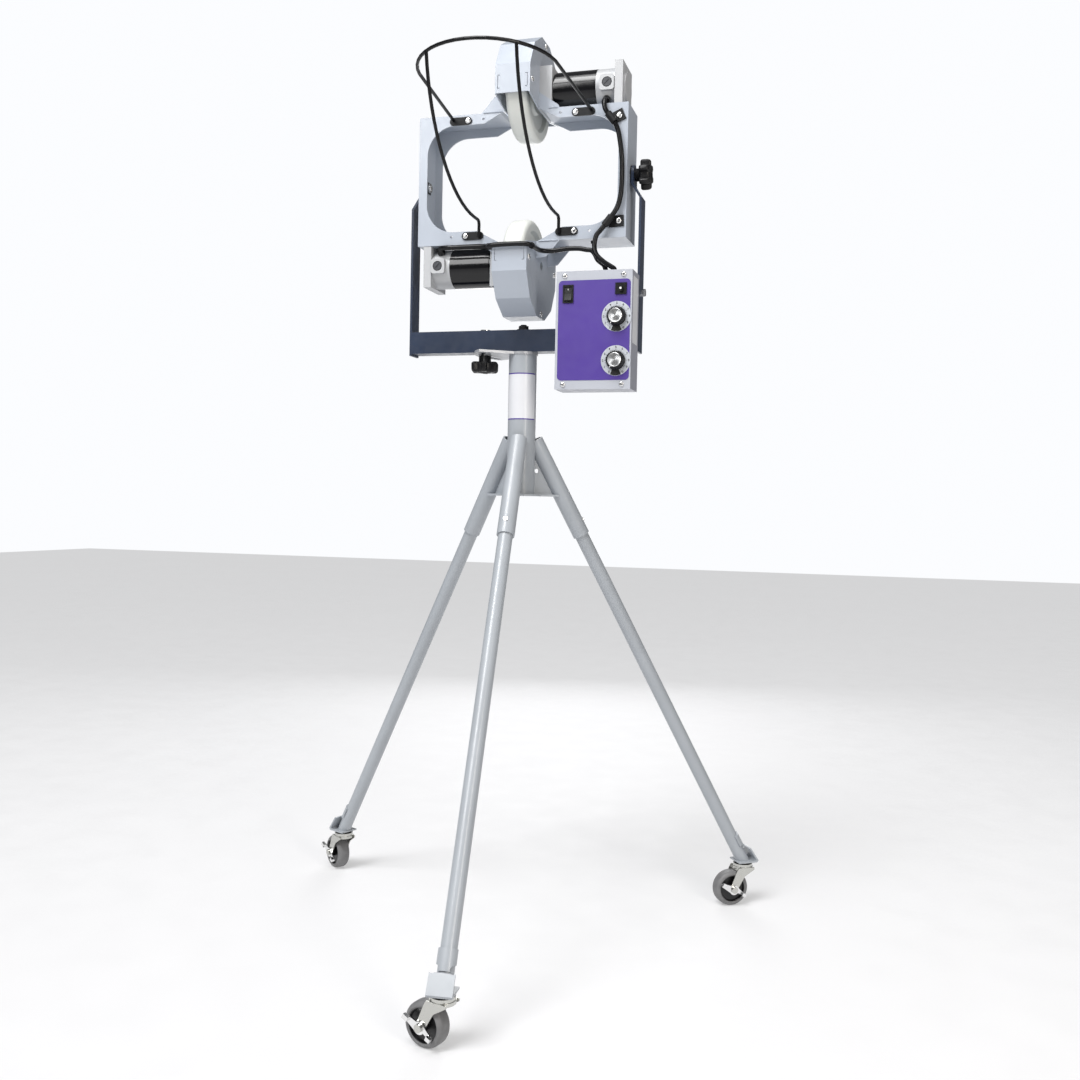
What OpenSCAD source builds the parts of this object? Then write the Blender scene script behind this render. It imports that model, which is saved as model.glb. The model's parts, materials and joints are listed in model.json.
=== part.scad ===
// Two-wheel ball throwing machine on a wheeled tripod.
// Origin: on the floor, on the axis of the post. +Z up, +Y the way the ball is thrown,
// +X to the operator's right. Millimetres.

/* [Throwing head] */
// Height of the tilt pivots above the floor
pivot_height = 1530; // [1400:5:1650]
// Width of the head frame
frame_width = 434; // [400:2:480]
// Height of the head frame
frame_height = 260; // [250:2:280]
// Depth of the head frame
frame_depth = 86; // [80:2:100]
// Thickness of the head frame's sheet steel
frame_sheet = 3; // [2:0.5:4]
// Corner radius of the throat
throat_radius = 58; // [40:2:70]

/* [Wheels and motors] */
// Diameter of a throwing wheel
wheel_diameter = 184; // [176:2:188]
// Width of a throwing wheel
wheel_width = 44; // [36:2:50]
// Distance from the tilt pivot to each wheel axle
axle_offset = 171; // [169:1:175]
// Diameter of a motor
motor_diameter = 79; // [70:1:80]

/* [Yoke] */
// Outer width of the yoke
yoke_width = 484; // [484:2:500]
// Height of the yoke bar's section
bar_height = 44.5; // [38:0.5:48]
// Depth of the yoke bar's section, and width of its arms
bar_depth = 38; // [34:1:42]

/* [Tripod] */
// Diameter of the post
post_diameter = 57; // [50:1:60]
// Diameter of the leg sleeves
sleeve_diameter = 35; // [34:0.5:38]
// Diameter of the legs
leg_diameter = 28.6; // [25:0.2:29]
// Distance from the post axis to each caster's swivel axis
foot_radius = 539; // [500:1:580]
// Turn of the tripod about the post
tripod_turn = 5.8; // [0:0.1:12]
// Diameter of a caster wheel
caster_diameter = 76.2; // [74:0.1:78]

/* [Control box] */
// Width of the control box
box_width = 150; // [140:1:152]
// Height of the control box
box_height = 227; // [215:1:235]
// Depth of the control box
box_depth = 62; // [55:1:62]

/* [Hidden] */
$fn = 64;

e = 0.1;                              // face clearance between parts that move
half_w = frame_width / 2;
half_h = frame_height / 2;
half_d = frame_depth / 2;
flange_side = 18;                     // visible flange width of the head frame
flange_top = 20;
flange_bottom = 26;
stud_r = 4.95;                        // pivot studs, in bores 0.1 larger
bore_r = 5.05;

guard_apothem = 105;
guard_half = 35.5;                    // half width of a wheel guard
guard_sheet = 2.5;
shaft_r = 7.94;
shaft_bore_r = 8;
motor_r = motor_diameter / 2;
bracket_x = 61;                       // outer face of a motor bracket
can_x = 65;                           // motor can starts here
bell_x = 149;                         // and its end bell here
plate_x = 188;
motor_end_x = 204;

arm_t = 4.8;
arm_x = yoke_width / 2;
arm_top_x = half_w + 7.5;             // outer face of an arm at the pivots
joggle_low = pivot_height - 47;
joggle_high = pivot_height - 20;
bar_bottom = 1185;
bar_mid = bar_bottom + bar_height / 2;
lock_radius = 82;                     // lock stud, from the post axis
swivel_t = 5;
swivel_limit = 35;
knob_r = 29.3;                        // outer radius of the clamping knobs

post_r = post_diameter / 2;
hub_z = 894;
sleeve_r = sleeve_diameter / 2;
leg_r = leg_diameter / 2;
sleeve_top_r = 28;                    // radius and height of the sleeve axis at its top
sleeve_top_z = 1009;
foot_z = 95;                          // underside of a foot bracket
leg_lean = atan((foot_radius - sleeve_top_r) / (sleeve_top_z - foot_z));
leg_span = (sleeve_top_z - foot_z) / cos(leg_lean);
sleeve_length = 221;
button_at = leg_span - 194;           // snap button, measured up the leg from the foot

caster_r = caster_diameter / 2;
caster_trail = 30;
caster_half = 15;                     // half width of a caster wheel
caster_bore_r = 4.06;
names = ["front", "right", "left"];
leg_az = [-90 + tripod_turn, 30 + tripod_turn, 150 + tripod_turn];
trail_az = [164, 213, 142];           // where each caster wheel trails to

box_x = 92;
box_z = 1101;
box_front = -86;
box_back = box_front + box_depth;
box_r = box_x + box_width;
box_top = box_z + box_height;
lid_screws = [[109, 1110], [109, 1319], [225, 1110], [225, 1319]];
box_leads = [[202, -62], [182, -49]];
panel_y = -88.6;                      // front of the purple panel
dial_x = 213;
dial_z = [1239, 1155];

hoop_half = 131;                      // half width of the wire guide's hoop
hoop_tilt = 3.6;
hoop_leg = 194;
hoop_mouth = 143;                     // half width where the hoop meets the head
wire_r = 3.2;
rail_x = 83;
rail_arc = 267;
rail_low = -85;
rail_end = 80.5;

lead_r = 4.75;
// Route of the upper motor's lead on the head, from the pivots
upper_route = [[170, -32, 141], [170, -37, 137.4], [170, -42.5, 136.2], [170, -47.5, 134], [170.5, -51.5, 128],
  [172, -53.5, 120], [176, -54, 111], [182, -53, 103],
  [190, -53, 93], [199, -52, 74], [204, -52, 50], [208, -52, 20], [209, -52, -10], [208, -52, -45],
  [203, -52, -70], [196, -53, -84], [188, -53, -94], [179, -54, -106], [170, -56, -118]];
// Route of the lower motor's lead on the head
lower_route = [[-170, -32, -141], [-170, -37, -137.4], [-168, -42.5, -136.4], [-162, -47.5, -136],
  [-150, -50.5, -136.5], [-135, -51, -137], [-100, -51, -137], [-72, -52, -138], [-54, -60, -142],
  [-46, -76, -147], [-44.5, -98, -150], [-42.5, -106.5, -150.7], [-36, -112, -151], [-18, -112.5, -150],
  [18, -112.5, -150], [36, -112, -151], [42.5, -106.5, -151.7], [44.5, -98, -152], [46, -76, -152], [52, -60, -153], [70, -52, -153], [100, -50, -150], [124, -49, -150],
  [140, -49, -153]];
// Loose ends that bend as the head tilts
upper_flex = [[169.7, -56.1, -118.4], [162, -57.78, -128.67], [159, -60, -148], [164, -63, -166],
  [178, -64, -180], [193, -63, -190], [200, -62.5, -195], [202, -62, -202]];
lower_flex = [[140.5, -49, -153.1], [151, -49, -155.06], [158, -49, -163], [164, -49, -174], [176, -49, -184],
  [180, -49, -193], [182, -49, -202]];

// ---------- helpers ----------
function arc(r, a0, a1, n, c = [0, 0]) =
  [for (i = [0:n]) let (a = a0 + (a1 - a0) * i / n) c + r * [cos(a), sin(a)]];
function unit(v) = v / norm(v);
function tangent(p, i) =
  unit(p[min(i + 1, len(p) - 1)] - p[max(i - 1, 0)]);
function ring(c, t, r, n, side) =
  let (u = unit(cross(t, side)), v = cross(t, u))
  [for (k = [0:n - 1]) c + r * (u * cos(360 * k / n) + v * sin(360 * k / n))];

module tube_along(p, r, n = 8, side = [0.13, 1, 0.21]) {
  m = len(p);
  pts = [for (i = [0:m - 1]) each ring(p[i], tangent(p, i), r, n, side)];
  sides = [for (i = [0:m - 2]) for (k = [0:n - 1])
    [i * n + k, i * n + (k + 1) % n, (i + 1) * n + (k + 1) % n, (i + 1) * n + k]];
  polyhedron(pts, concat(sides, [[for (k = [n - 1:-1:0]) k]],
    [[for (k = [0:n - 1]) (m - 1) * n + k]]), convexity = 6);
}
module slab(a, b) translate(a) cube(b - a);
module x_rod(r, x0, x1, y = 0, z = 0) translate([x0, y, z]) rotate([0, 90, 0]) cylinder(r = r, h = x1 - x0);
module y_rod(r, y0, y1, x = 0, z = 0) translate([x, y0, z]) rotate([-90, 0, 0]) cylinder(r = r, h = y1 - y0);
module z_rod(r, z0, z1, x = 0, y = 0) translate([x, y, z0]) cylinder(r = r, h = z1 - z0);
// A flat outline in X and Z, between two depths, or in Y and Z, between two widths
module xz_plate(y0, y1) translate([0, y1, 0]) rotate([90, 0, 0]) linear_extrude(y1 - y0) children();
module yz_plate(x0, x1) translate([x0, 0, 0]) rotate([90, 0, 90]) linear_extrude(x1 - x0) children();
module at_pivot() translate([0, 0, pivot_height]) children();
// The lower throwing unit is the upper one turned over about the throwing direction
module unit_place(low = false) at_pivot() rotate([0, low ? 180 : 0, 0]) children();
module at_axle(low = false) unit_place(low) translate([0, 0, axle_offset]) children();
module on_leg(i) rotate([0, 0, leg_az[i]]) translate([foot_radius, 0, foot_z]) rotate([0, -leg_lean, 0]) children();
module at_foot(i) rotate([0, 0, leg_az[i]]) translate([foot_radius, 0, 0]) children();
module at_caster(i) at_foot(i) rotate([0, 0, trail_az[i] - leg_az[i]]) children();

// ---------- tripod ----------
module post() color("lightsteelblue") difference() {
  z_rod(post_r, hub_z + 4, bar_bottom - e - swivel_t);
  z_rod(post_r - 3, hub_z + 3, bar_bottom);
}
module leg_sleeves() color("lightsteelblue") for (i = [0:2]) difference() {
  on_leg(i) z_rod(sleeve_r, leg_span - sleeve_length, leg_span);
  on_leg(i) z_rod(leg_r + 0.3, leg_span - sleeve_length - 1, leg_span + 1);
  on_leg(i) x_rod(4.08, 0, sleeve_r + 2, 0, button_at);
  z_rod(post_r, hub_z, sleeve_top_z + 40);
}
module hub_plate() color("lightsteelblue") difference() {
  union() {
    z_rod(42, hub_z, hub_z + 4);
    for (a = leg_az) rotate([0, 0, a]) {
      slab([0, -16, hub_z], [78, 16, hub_z + 4]);
      slab([post_r - 2, -1.6, hub_z + 4], [80, 1.6, 968]);
    }
  }
  z_rod(post_r, hub_z + 4, 1000);
  for (i = [0:2]) {
    on_leg(i) z_rod(sleeve_r, 700, leg_span + 20);
    on_leg(i) slab([0, -30, 700], [120, 30, leg_span + 20]);
    rotate([0, 0, leg_az[i]]) y_rod(4.5, -3, 3, 34, 946);
  }
}
// Arc slot for the lock bolt, round at both ends
module lock_slot() {
  intersection() {
    difference() {
      z_rod(lock_radius + 5.3, 1170, 1190);
      z_rod(lock_radius - 5.3, 1160, 1200);
    }
    translate([0, 0, 1150]) linear_extrude(60)
      polygon([[0, 0], 200 * [-cos(swivel_limit), sin(swivel_limit)], [-200, 0],
        200 * [-cos(swivel_limit), -sin(swivel_limit)]]);
  }
  for (s = [-1, 1]) z_rod(5.3, 1170, 1190, -lock_radius * cos(swivel_limit), s * lock_radius * sin(swivel_limit));
}
module swivel_plate() color("gainsboro") difference() {
  translate([0, 0, bar_bottom - e - swivel_t]) linear_extrude(swivel_t)
    polygon(concat(arc(99, 180 - swivel_limit - 10, 180 + swivel_limit + 10, 16),
      arc(post_r + 2, 250, 470, 16)));
  lock_slot();
  z_rod(bore_r + 1, 1100, 1250);
}
module swivel_bolt() color("dimgray") {
  z_rod(bore_r + 1, bar_bottom - e - swivel_t, bar_bottom + bar_height + 12);
  z_rod(11, bar_bottom - e - swivel_t - 7, bar_bottom - e - swivel_t);
  z_rod(14, bar_bottom + bar_height + e, bar_bottom + bar_height + e + 2.5);
  translate([0, 0, bar_bottom + bar_height + e + 2.5]) cylinder(r = 10.5, h = 7, $fn = 6);
}
module leg(i) color("lightsteelblue") difference() {
  on_leg(i) z_rod(leg_r, -10, leg_span - 30);
  on_leg(i) z_rod(leg_r - 2, -40, leg_span - 29);
  on_leg(i) x_rod(4.08, 0, sleeve_r + 2, 0, button_at);
  at_foot(i) slab([-60, -60, 0], [60, 60, foot_z + 3]);
}
// Bent strip: a plate over the caster, a leaning face, and a saddle round the leg
module foot_brackets() color("lightsteelblue") for (i = [0:2]) difference() {
  union() {
    at_foot(i) slab([-20, -22, foot_z], [24, 22, foot_z + 3]);
    at_foot(i) rotate([90, 0, 0]) translate([0, 0, -22]) linear_extrude(44)
      polygon([[20, foot_z], [25, foot_z + 1], [27, foot_z + 5], [7, foot_z + 34], [4, foot_z + 33],
        [22, foot_z + 6], [20, foot_z + 3]]);
    intersection() {
      on_leg(i) z_rod(leg_r + 3, 30, 66);
      on_leg(i) slab([3, -30, 30], [30, 30, 66]);
    }
  }
  on_leg(i) z_rod(leg_r, -40, 100);
  on_leg(i) for (s = [-1, 1]) translate([leg_r, s * 17.5, 33]) rotate([0, 90, 0]) cylinder(r = 8, h = 30, center = true);
}
module caster_races() color("silver") for (i = [0:2]) at_foot(i) {
  z_rod(15, foot_z - 4, foot_z);
  z_rod(21, foot_z - 10, foot_z - 4);
  z_rod(5.9, foot_z - 19, foot_z - 10);
  z_rod(9, foot_z - 19, foot_z - 16 - e);
}
module snap_springs() color("silver") for (i = [0:2]) on_leg(i) translate([0, 0, button_at])
  rotate([90, 0, 0]) translate([0, 0, -4]) linear_extrude(8)
    polygon([[-11, -9], [-10, -9], [-10, 30], [-2, 44], [-3, 45], [-11, 31]]);
module snap_button(i) color("silver") on_leg(i) translate([0, 0, button_at]) {
  x_rod(4, 6, sleeve_r + 2);
  x_rod(3, sleeve_r + 2, sleeve_r + 3);
  x_rod(5.6, 5, 10);
}
module caster_fork(i) color("silver") at_caster(i) {
  difference() {
    union() {
      z_rod(22, foot_z - 16, foot_z - 10 - e);
      for (y = [-20, 17.4]) xz_plate(y, y + 2.6) fork_outline();
    }
    z_rod(6, 0, 100);
    y_rod(4, -30, 30, caster_trail, caster_r);
  }
  y_rod(4, -20, 27, caster_trail, caster_r);
  translate([caster_trail, -26, caster_r]) rotate([-90, 0, 0]) cylinder(r = 7, h = 6, $fn = 6);
  y_rod(7, 23.2, 27, caster_trail, caster_r);
}
module fork_outline() {
  polygon([[-19, foot_z - 16], [-19, foot_z - 11], [19, foot_z - 11], [24, foot_z - 20],
    [caster_trail + 8.6, caster_r + 2], [caster_trail - 6.5, caster_r - 6], [4, foot_z - 30]]);
  translate([caster_trail, caster_r]) circle(9);
}
module caster_wheel(i) color("dimgray") at_caster(i) translate([caster_trail, 0, caster_r]) rotate([-90, 0, 0])
  rotate_extrude() polygon(concat([[caster_bore_r, -16.5], [10, -16.5], [10, -9], [26, -9], [27.5, -13]],
    arc(9, -80, 0, 6, [caster_r - 9, -6]), arc(9, 0, 80, 6, [caster_r - 9, 6]),
    [[27.5, 13], [26, 9], [10, 9], [10, 16.5], [caster_bore_r, 16.5]]));
module caster_brake(i) color("silver") at_caster(i) translate([caster_trail, 0, caster_r]) difference() {
  union() {
    xz_plate(20.6, 23) polygon(concat(arc(11, -140, -30, 8), [[30, 9], [31, 14], [26, 16]], arc(10, 60, 150, 8),
      [[-22, -8], [-26, -12], [-24, -16]]));
    rotate([0, -27, 0]) slab([22, 23, -4], [33, 29, 4]);
    rotate([0, -27, 0]) slab([-29, 23, -4], [-20, 29, 3]);
  }
  y_rod(caster_bore_r, 10, 40);
}

// ---------- yoke ----------
module yoke_bar() color("#20232a") difference() {
  slab([-arm_x + arm_t, -bar_depth / 2, bar_bottom], [arm_x - arm_t, bar_depth / 2, bar_bottom + bar_height]);
  slab([-arm_x, -bar_depth / 2 + 2.5, bar_bottom + 2.5], [arm_x, bar_depth / 2 - 2.5, bar_bottom + bar_height - 2.5]);
  z_rod(bore_r + 1.1, 1100, 1300);
  z_rod(stud_r + 0.1, 1100, 1300, -lock_radius);
}
module yoke_arms() color("#20232a") for (turn = [0, 180]) difference() {
  intersection() {
    rotate([0, 0, turn]) xz_plate(-bar_depth / 2, bar_depth / 2) polygon([
      [arm_x - arm_t, bar_bottom - 4], [arm_x, bar_bottom - 4], [arm_x, joggle_low], [arm_top_x, joggle_high],
      [arm_top_x, pivot_height + 30], [arm_top_x - arm_t, pivot_height + 30],
      [arm_top_x - arm_t, joggle_high - 1], [arm_x - arm_t, joggle_low - 1]]);
    union() {
      slab([-300, -bar_depth / 2, 1100], [300, bar_depth / 2, pivot_height]);
      x_rod(bar_depth / 2, -300, 300, 0, pivot_height);
    }
  }
  x_rod(bore_r, -300, 300, 0, pivot_height);
  x_rod(4.2, arm_x - 20, arm_x + 20, 6, 1300);
}
// Carriage bolt of the swivel lock, left pivot bolt with its nut, and the box bracket's bolt
module yoke_bolts() color("silver") {
  z_rod(10, bar_bottom + bar_height, bar_bottom + bar_height + 3.5, -lock_radius);
  z_rod(stud_r, bar_bottom - 33, bar_bottom + bar_height, -lock_radius);
  at_pivot() {
    x_rod(stud_r, -arm_top_x, -half_w + 11);
    x_rod(9, -arm_top_x - 5, -arm_top_x);
    x_rod(9, -half_w + frame_sheet + e, -half_w + 9);
  }
  x_rod(4, box_r - arm_t - 8, box_r, 6, 1300);
  x_rod(7.5, box_r - arm_t - 8, box_r - arm_t - 3, 6, 1300);
  translate([box_r, 6, 1300]) rotate([0, 90, 0]) cylinder(r = 7.5, h = 7, $fn = 6);
}
module star_knob(hub, lobes) {
  difference() {
    union() {
      z_rod(12.5, 0, hub);
      difference() {
        z_rod(knob_r, hub, hub + lobes);
        for (k = [0:5]) rotate([0, 0, 60 * k + 30]) z_rod(10, hub - 1, hub + lobes + 1, knob_r + 1.5);
      }
    }
    z_rod(5.05, -1, hub + lobes - 5);
  }
}
module swivel_knob() color("#1a1a1c") translate([-lock_radius, 0, bar_bottom - swivel_t - 2 * e])
  rotate([180, 0, 0]) star_knob(12, 22);
module tilt_knob() at_pivot() {
  color("#1a1a1c") translate([arm_top_x + 2, 0, 0]) rotate([0, 90, 0]) star_knob(9, 21);
  color("silver") x_rod(stud_r, half_w - 11, arm_top_x + 29);
}
module pivot_washers() at_pivot() {
  color("#222222") for (s = [-1, 1]) difference() {
    x_rod(19, s > 0 ? half_w + e : -arm_top_x + arm_t, s > 0 ? arm_top_x - arm_t : -half_w - e);
    x_rod(bore_r, -300, 300);
  }
  color("silver") difference() {
    x_rod(11, arm_top_x, arm_top_x + 1.8);
    x_rod(bore_r, 0, 300);
  }
}

// ---------- head ----------
// The throat: a rounded window whose top and bottom flare out to the wheels
module throat_solid() {
  w = half_w - flange_side;
  top = half_h - flange_top;
  low = -half_h + flange_bottom;
  r = throat_radius;
  slab([-w + r, -100, low], [w - r, 100, top]);
  slab([-w, -100, low + r], [w, 100, top - r]);
  for (s = [-1, 1]) for (z = [low + r, top - r]) y_rod(r, -100, 100, s * (w - r), z);
  xz_plate(-100, 100) polygon([[-78, top - 1], [78, top - 1], [78, top], [38, half_h], [-38, half_h], [-78, top]]);
  xz_plate(-100, 100) polygon([[-90, low + 1], [90, low + 1], [90, low], [40, -half_h], [-40, -half_h], [-90, low]]);
}
module head_shell() difference() {
  slab([-half_w, -half_d, -half_h], [half_w, half_d, half_h]);
  slab([-half_w + frame_sheet, -half_d + frame_sheet, -half_h + frame_sheet],
    [half_w - frame_sheet, half_d - frame_sheet, half_h - frame_sheet]);
  throat_solid();
}
module head_frame() color("lightsteelblue") at_pivot() difference() {
  union() {
    head_shell();
    x_rod(9.5, half_w - 11, half_w - frame_sheet);
  }
  slab([-guard_half + guard_sheet, -100, -200], [guard_half - guard_sheet, 100, 200]);
  x_rod(bore_r, -300, 300);
  for (s = [-1, 1]) {
    y_rod(2.6, -60, 0, s * 80, 119);
    y_rod(2.6, -60, 0, s * 144, -114);
    y_rod(3.05, -60, 0, s * 112, 117);
    y_rod(3.05, -60, 0, s * 113, -114);
  }
  y_rod(3.05, -60, 0, 200, 104);
  y_rod(3.05, -60, 0, 203, -99);
}
module guard_gussets() color("lightsteelblue") for (low = [false, true]) unit_place(low)
  for (y = [-half_d, half_d - 2.5]) xz_plate(y, y + 2.5) {
    polygon([[guard_half, half_h], [78, half_h], [76, half_h + 5], [guard_half, half_h + 33]]);
    polygon([[-guard_half, half_h], [-84, half_h], [-57, half_h + 31], [-guard_half, half_h + 34]]);
  }
// Dodecagon round the wheel, cut off where it meets the frame
module guard_outline(a) {
  r = a / cos(15);
  seat = -axle_offset + half_h;
  polygon(concat([for (k = [0:7]) r * [cos(-15 + 30 * k), sin(-15 + 30 * k)]],
    [[-half_d, seat], [half_d, seat]]));
}
module guard(low) color("lightsteelblue") at_axle(low) difference() {
  yz_plate(-guard_half, guard_half) guard_outline(guard_apothem);
  yz_plate(-guard_half + guard_sheet, guard_half - guard_sheet) guard_outline(guard_apothem - guard_sheet);
  slab([-guard_half + guard_sheet, -guard_apothem - 5, -120], [guard_half - guard_sheet, guard_apothem + 5, -27]);
  x_rod(20, guard_half - 5, guard_half + 5);
  x_rod(8.5, -guard_half - 1, -guard_half + 5);
  for (s = [-1, 1]) {
    slab([s * 30 - 0.6, -guard_apothem - 3, -18], [s * 30 + 0.6, -guard_apothem + 5, 8]);
    for (z = [-18, 6.8]) slab([s * 28 - 2, -guard_apothem - 3, z], [s * 28 + 2, -guard_apothem + 5, z + 1.2]);
    for (p = [[-90, 0], [90, 0], [0, 96]]) x_rod(3.05, s > 0 ? 30 : -40, s > 0 ? 40 : -30, p[0], p[1]);
  }
}
module motor_brackets() color("gainsboro") for (low = [false, true]) at_axle(low) difference() {
  slab([guard_half, -half_d + 2.6, half_h - axle_offset], [bracket_x, half_d - 2.6, motor_r + 4]);
  slab([guard_half - 1, -half_d + 5.6, half_h - axle_offset + 3], [bracket_x - 3, half_d - 5.6, motor_r + 10]);
  x_rod(20, guard_half, 90);
}
module motor_cans() color("#141416") for (low = [false, true]) {
  motor_can(low);
  motor_trim(low);
}
module motor_can(low) at_axle(low) difference() {
  union() {
    x_rod(motor_r - 1.5, bracket_x, can_x);
    x_rod(motor_r, can_x, bell_x);
  }
  x_rod(motor_r - 3.5, can_x, bell_x + 1);
  x_rod(shaft_bore_r, 0, can_x + 1);
}
// Brush caps and strain relief of each motor
module motor_trim(low) at_axle(low) {
  for (y = [-44, 34]) y_rod(9.9, y, y + 10, 173, 0);
  translate([170, -28.6, -27.8]) rotate([45.8 + 90, 0, 0]) cylinder(r = 8, h = 11);
}
module motor_magnets() color("#3c3c40") for (low = [false, true]) at_axle(low) difference() {
  x_rod(motor_r - 3.5, can_x + 4, bell_x - 16);
  x_rod(30, can_x, bell_x);
  for (s = [-1, 1]) slab([can_x, -50, s * 25 - 10], [bell_x, 50, s * 25 + 10]);
  slab([can_x, -50, -16], [bell_x, 50, -14]);
}
module motor_endbells() color("gainsboro") for (low = [false, true]) at_axle(low) difference() {
  union() {
    x_rod(motor_r - 0.5, bell_x, plate_x);
    slab([plate_x, -42, -40.8], [motor_end_x, 42, 42]);
    x_rod(30, motor_end_x, motor_end_x + 3);
    slab([158, -45, -10], [187, 45, 10]);
    slab([163, -45, -15], [182, 45, 15]);
    for (x = [163, 182]) for (z = [-10, 10]) y_rod(5, -45, 45, x, z);
  }
  x_rod(motor_r - 7, bell_x - 1, plate_x - 4);
  x_rod(shaft_bore_r, 140, 196);
  for (s = [-1, 1]) y_rod(10, s > 0 ? 25 : -50, s > 0 ? 50 : -25, 173, 0);
}
module armature(low) color("#b87333") at_axle(low) {
  x_rod(shaft_r, -21, 194);
  x_rod(28.5, 74, 128);
  x_rod(17, 132, 150);
}
module throwing_wheel(low) color("ivory") at_axle(low) rotate([0, 90, 0]) difference() {
  r = wheel_diameter / 2;
  h = wheel_width / 2;
  rotate_extrude($fn = 96) polygon(concat([[shaft_r, -h + 3], [34, -h + 3], [38, -h + 9], [66, -h + 9], [70, -h + 1]],
    arc(11, -80, 0, 6, [r - 11, -h + 11]), arc(11, 0, 80, 6, [r - 11, h - 11]),
    [[70, h - 1], [66, h - 9], [38, h - 9], [34, h - 3], [shaft_r, h - 3]]));
}
// Round-wire basket that the ball is laid on: a flat hoop and two rails
hoop_route = concat(
  [[hoop_mouth, 0, 0], [hoop_mouth - 6, -97, 0]],
  [for (p = arc(hoop_half, 0, -180, 22, [0, -hoop_leg])) [p[0], p[1], 0]],
  [[6 - hoop_mouth, -97, 0], [-hoop_mouth, 0, 0]]);
rail_route = concat(
  [[0, -48.8, -118], [0, -48.8, rail_low - 14]],
  [for (p = arc(8, 0, 90, 5, [-56.8, rail_low - 8])) [0, p[0], p[1]]],
  [for (p = arc(rail_arc, 270, 270 - rail_end, 16, [-77.5, rail_low + rail_arc])) [0, p[0], p[1]]]);
module guide_hoop() color("#202020") at_pivot() translate([0, -46, 120]) rotate([-hoop_tilt, 0, 0])
  tube_along(hoop_route, wire_r, 12, [0, 0, 1]);
module guide_rods() color("#202020") at_pivot() for (s = [-1, 1]) translate([s * rail_x, 0, 0])
  tube_along(rail_route, wire_r, 12, [1, 0, 0]);
module clip(x_bolt, x_end, z) {
  s = x_end > x_bolt ? 1 : -1;
  difference() {
    union() {
      slab([min(x_bolt, x_end), -half_d - 2.5, z - 8], [max(x_bolt, x_end), -half_d, z + 8]);
      for (x = [x_bolt, x_end]) y_rod(8, -half_d - 2.5, -half_d, x, z);
    }
    y_rod(3.05, -60, 0, x_bolt, z);
  }
}
// Cushioned clamp: a bolted tab and a band round the lead
module lead_clip(bolt, p, along) {
  reach = [p[0] - bolt[0], p[2] - bolt[1]];
  difference() {
    union() {
      translate([bolt[0], 0, bolt[1]]) rotate([0, -atan2(reach[1], reach[0]), 0])
        slab([-10, -half_d - 2.5, -11], [norm(reach), -half_d, 11]);
      translate(p) rotate([0, acos(unit(along)[2]), atan2(along[1], along[0])])
        cylinder(r = lead_r + 2.4, h = 22, center = true);
    }
    translate(p) rotate([0, acos(unit(along)[2]), atan2(along[1], along[0])])
      cylinder(r = lead_r + 0.8, h = 30, center = true);
    y_rod(3.05, -60, 0, bolt[0], bolt[1]);
    slab([140, -half_d, -170], [240, 0, 170]);
  }
}
module head_clips() color("#202020") at_pivot() {
  lead_clip([200, 104], [186, -53, 98], [8, 0, -10]);
  lead_clip([203, -99], [183.5, -53.5, -100], [-9, -1, -12]);
  for (s = [-1, 1]) {
    clip(s * 112, s * 143, 117);
    clip(s * 113, s * rail_x, -114);
  }
}
module head_screws() color("silver") at_pivot() {
  for (s = [-1, 1]) {
    screw_y(s * 112, 117);
    screw_y(s * 113, -114);
  }
  screw_y(200, 104);
  screw_y(203, -99);
  for (low = [0, 180]) rotate([0, low, 0]) translate([0, 0, axle_offset])
    for (s = [-1, 1]) for (p = [[-90, 0], [90, 0], [0, 96]]) {
      x_rod(3, s > 0 ? guard_half - 4 : -guard_half, s > 0 ? guard_half : -guard_half + 4, p[0], p[1]);
      x_rod(6, s > 0 ? guard_half : -guard_half - 3, s > 0 ? guard_half + 3 : -guard_half, p[0], p[1]);
    }
}
module screw_y(x, z) {
  y_rod(3, -half_d - 2.5, -half_d + 6, x, z);
  y_rod(6, -half_d - 5.5, -half_d - 2.5, x, z);
}
module head_leads() color("#111111") at_pivot() {
  tube_along(upper_route, lead_r);
  tube_along(lower_route, lead_r);
}
module flex_leads() color("#111111") at_pivot() {
  tube_along(upper_flex, lead_r);
  tube_along(lower_flex, lead_r);
}

// ---------- control box ----------
module control_box() color("slategray") difference() {
  union() {
    difference() {
      slab([box_x, box_front, box_z], [box_r, box_back, box_top]);
      slab([box_x + 2, box_front - 1, box_z + 2], [box_r - 2, box_back - 2, box_top - 2]);
    }
    for (p = lid_screws) slab([p[0] - 5, box_front, min(p[1] - 5, p[1] < 1200 ? box_z : box_top)],
      [p[0] + 5, box_front + 12, max(p[1] + 5, p[1] < 1200 ? box_z : box_top)]);
    slab([box_r - 60, box_back, 1270], [box_r - arm_t, box_back + 3, 1326]);
    slab([box_r - arm_t - 3, box_back, 1284], [box_r - arm_t, 16, 1316]);
  }
  for (p = lid_screws) y_rod(2.05, box_front - 1, box_front + 13, p[0], p[1]);
  for (p = box_leads) z_rod(6.2, box_top - 3, box_top + 1, p[0], p[1]);
  y_rod(4, box_back - 3, box_back + 1, 122, 1126);
  x_rod(4.2, 200, 260, 6, 1300);
}
module panel_cutouts() {
  for (z = dial_z) y_rod(5, -100, -80, dial_x, z);
  slab([107, -100, 1268], [126, -80, 1300]);
  slab([211, -100, 1282], [230, -80, 1301]);
}
module box_lid() color("lightgray") difference() {
  slab([box_x, box_front - 2, box_z], [box_r, box_front, box_top]);
  for (p = lid_screws) y_rod(2.05, -100, -80, p[0], p[1]);
  panel_cutouts();
}
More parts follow.
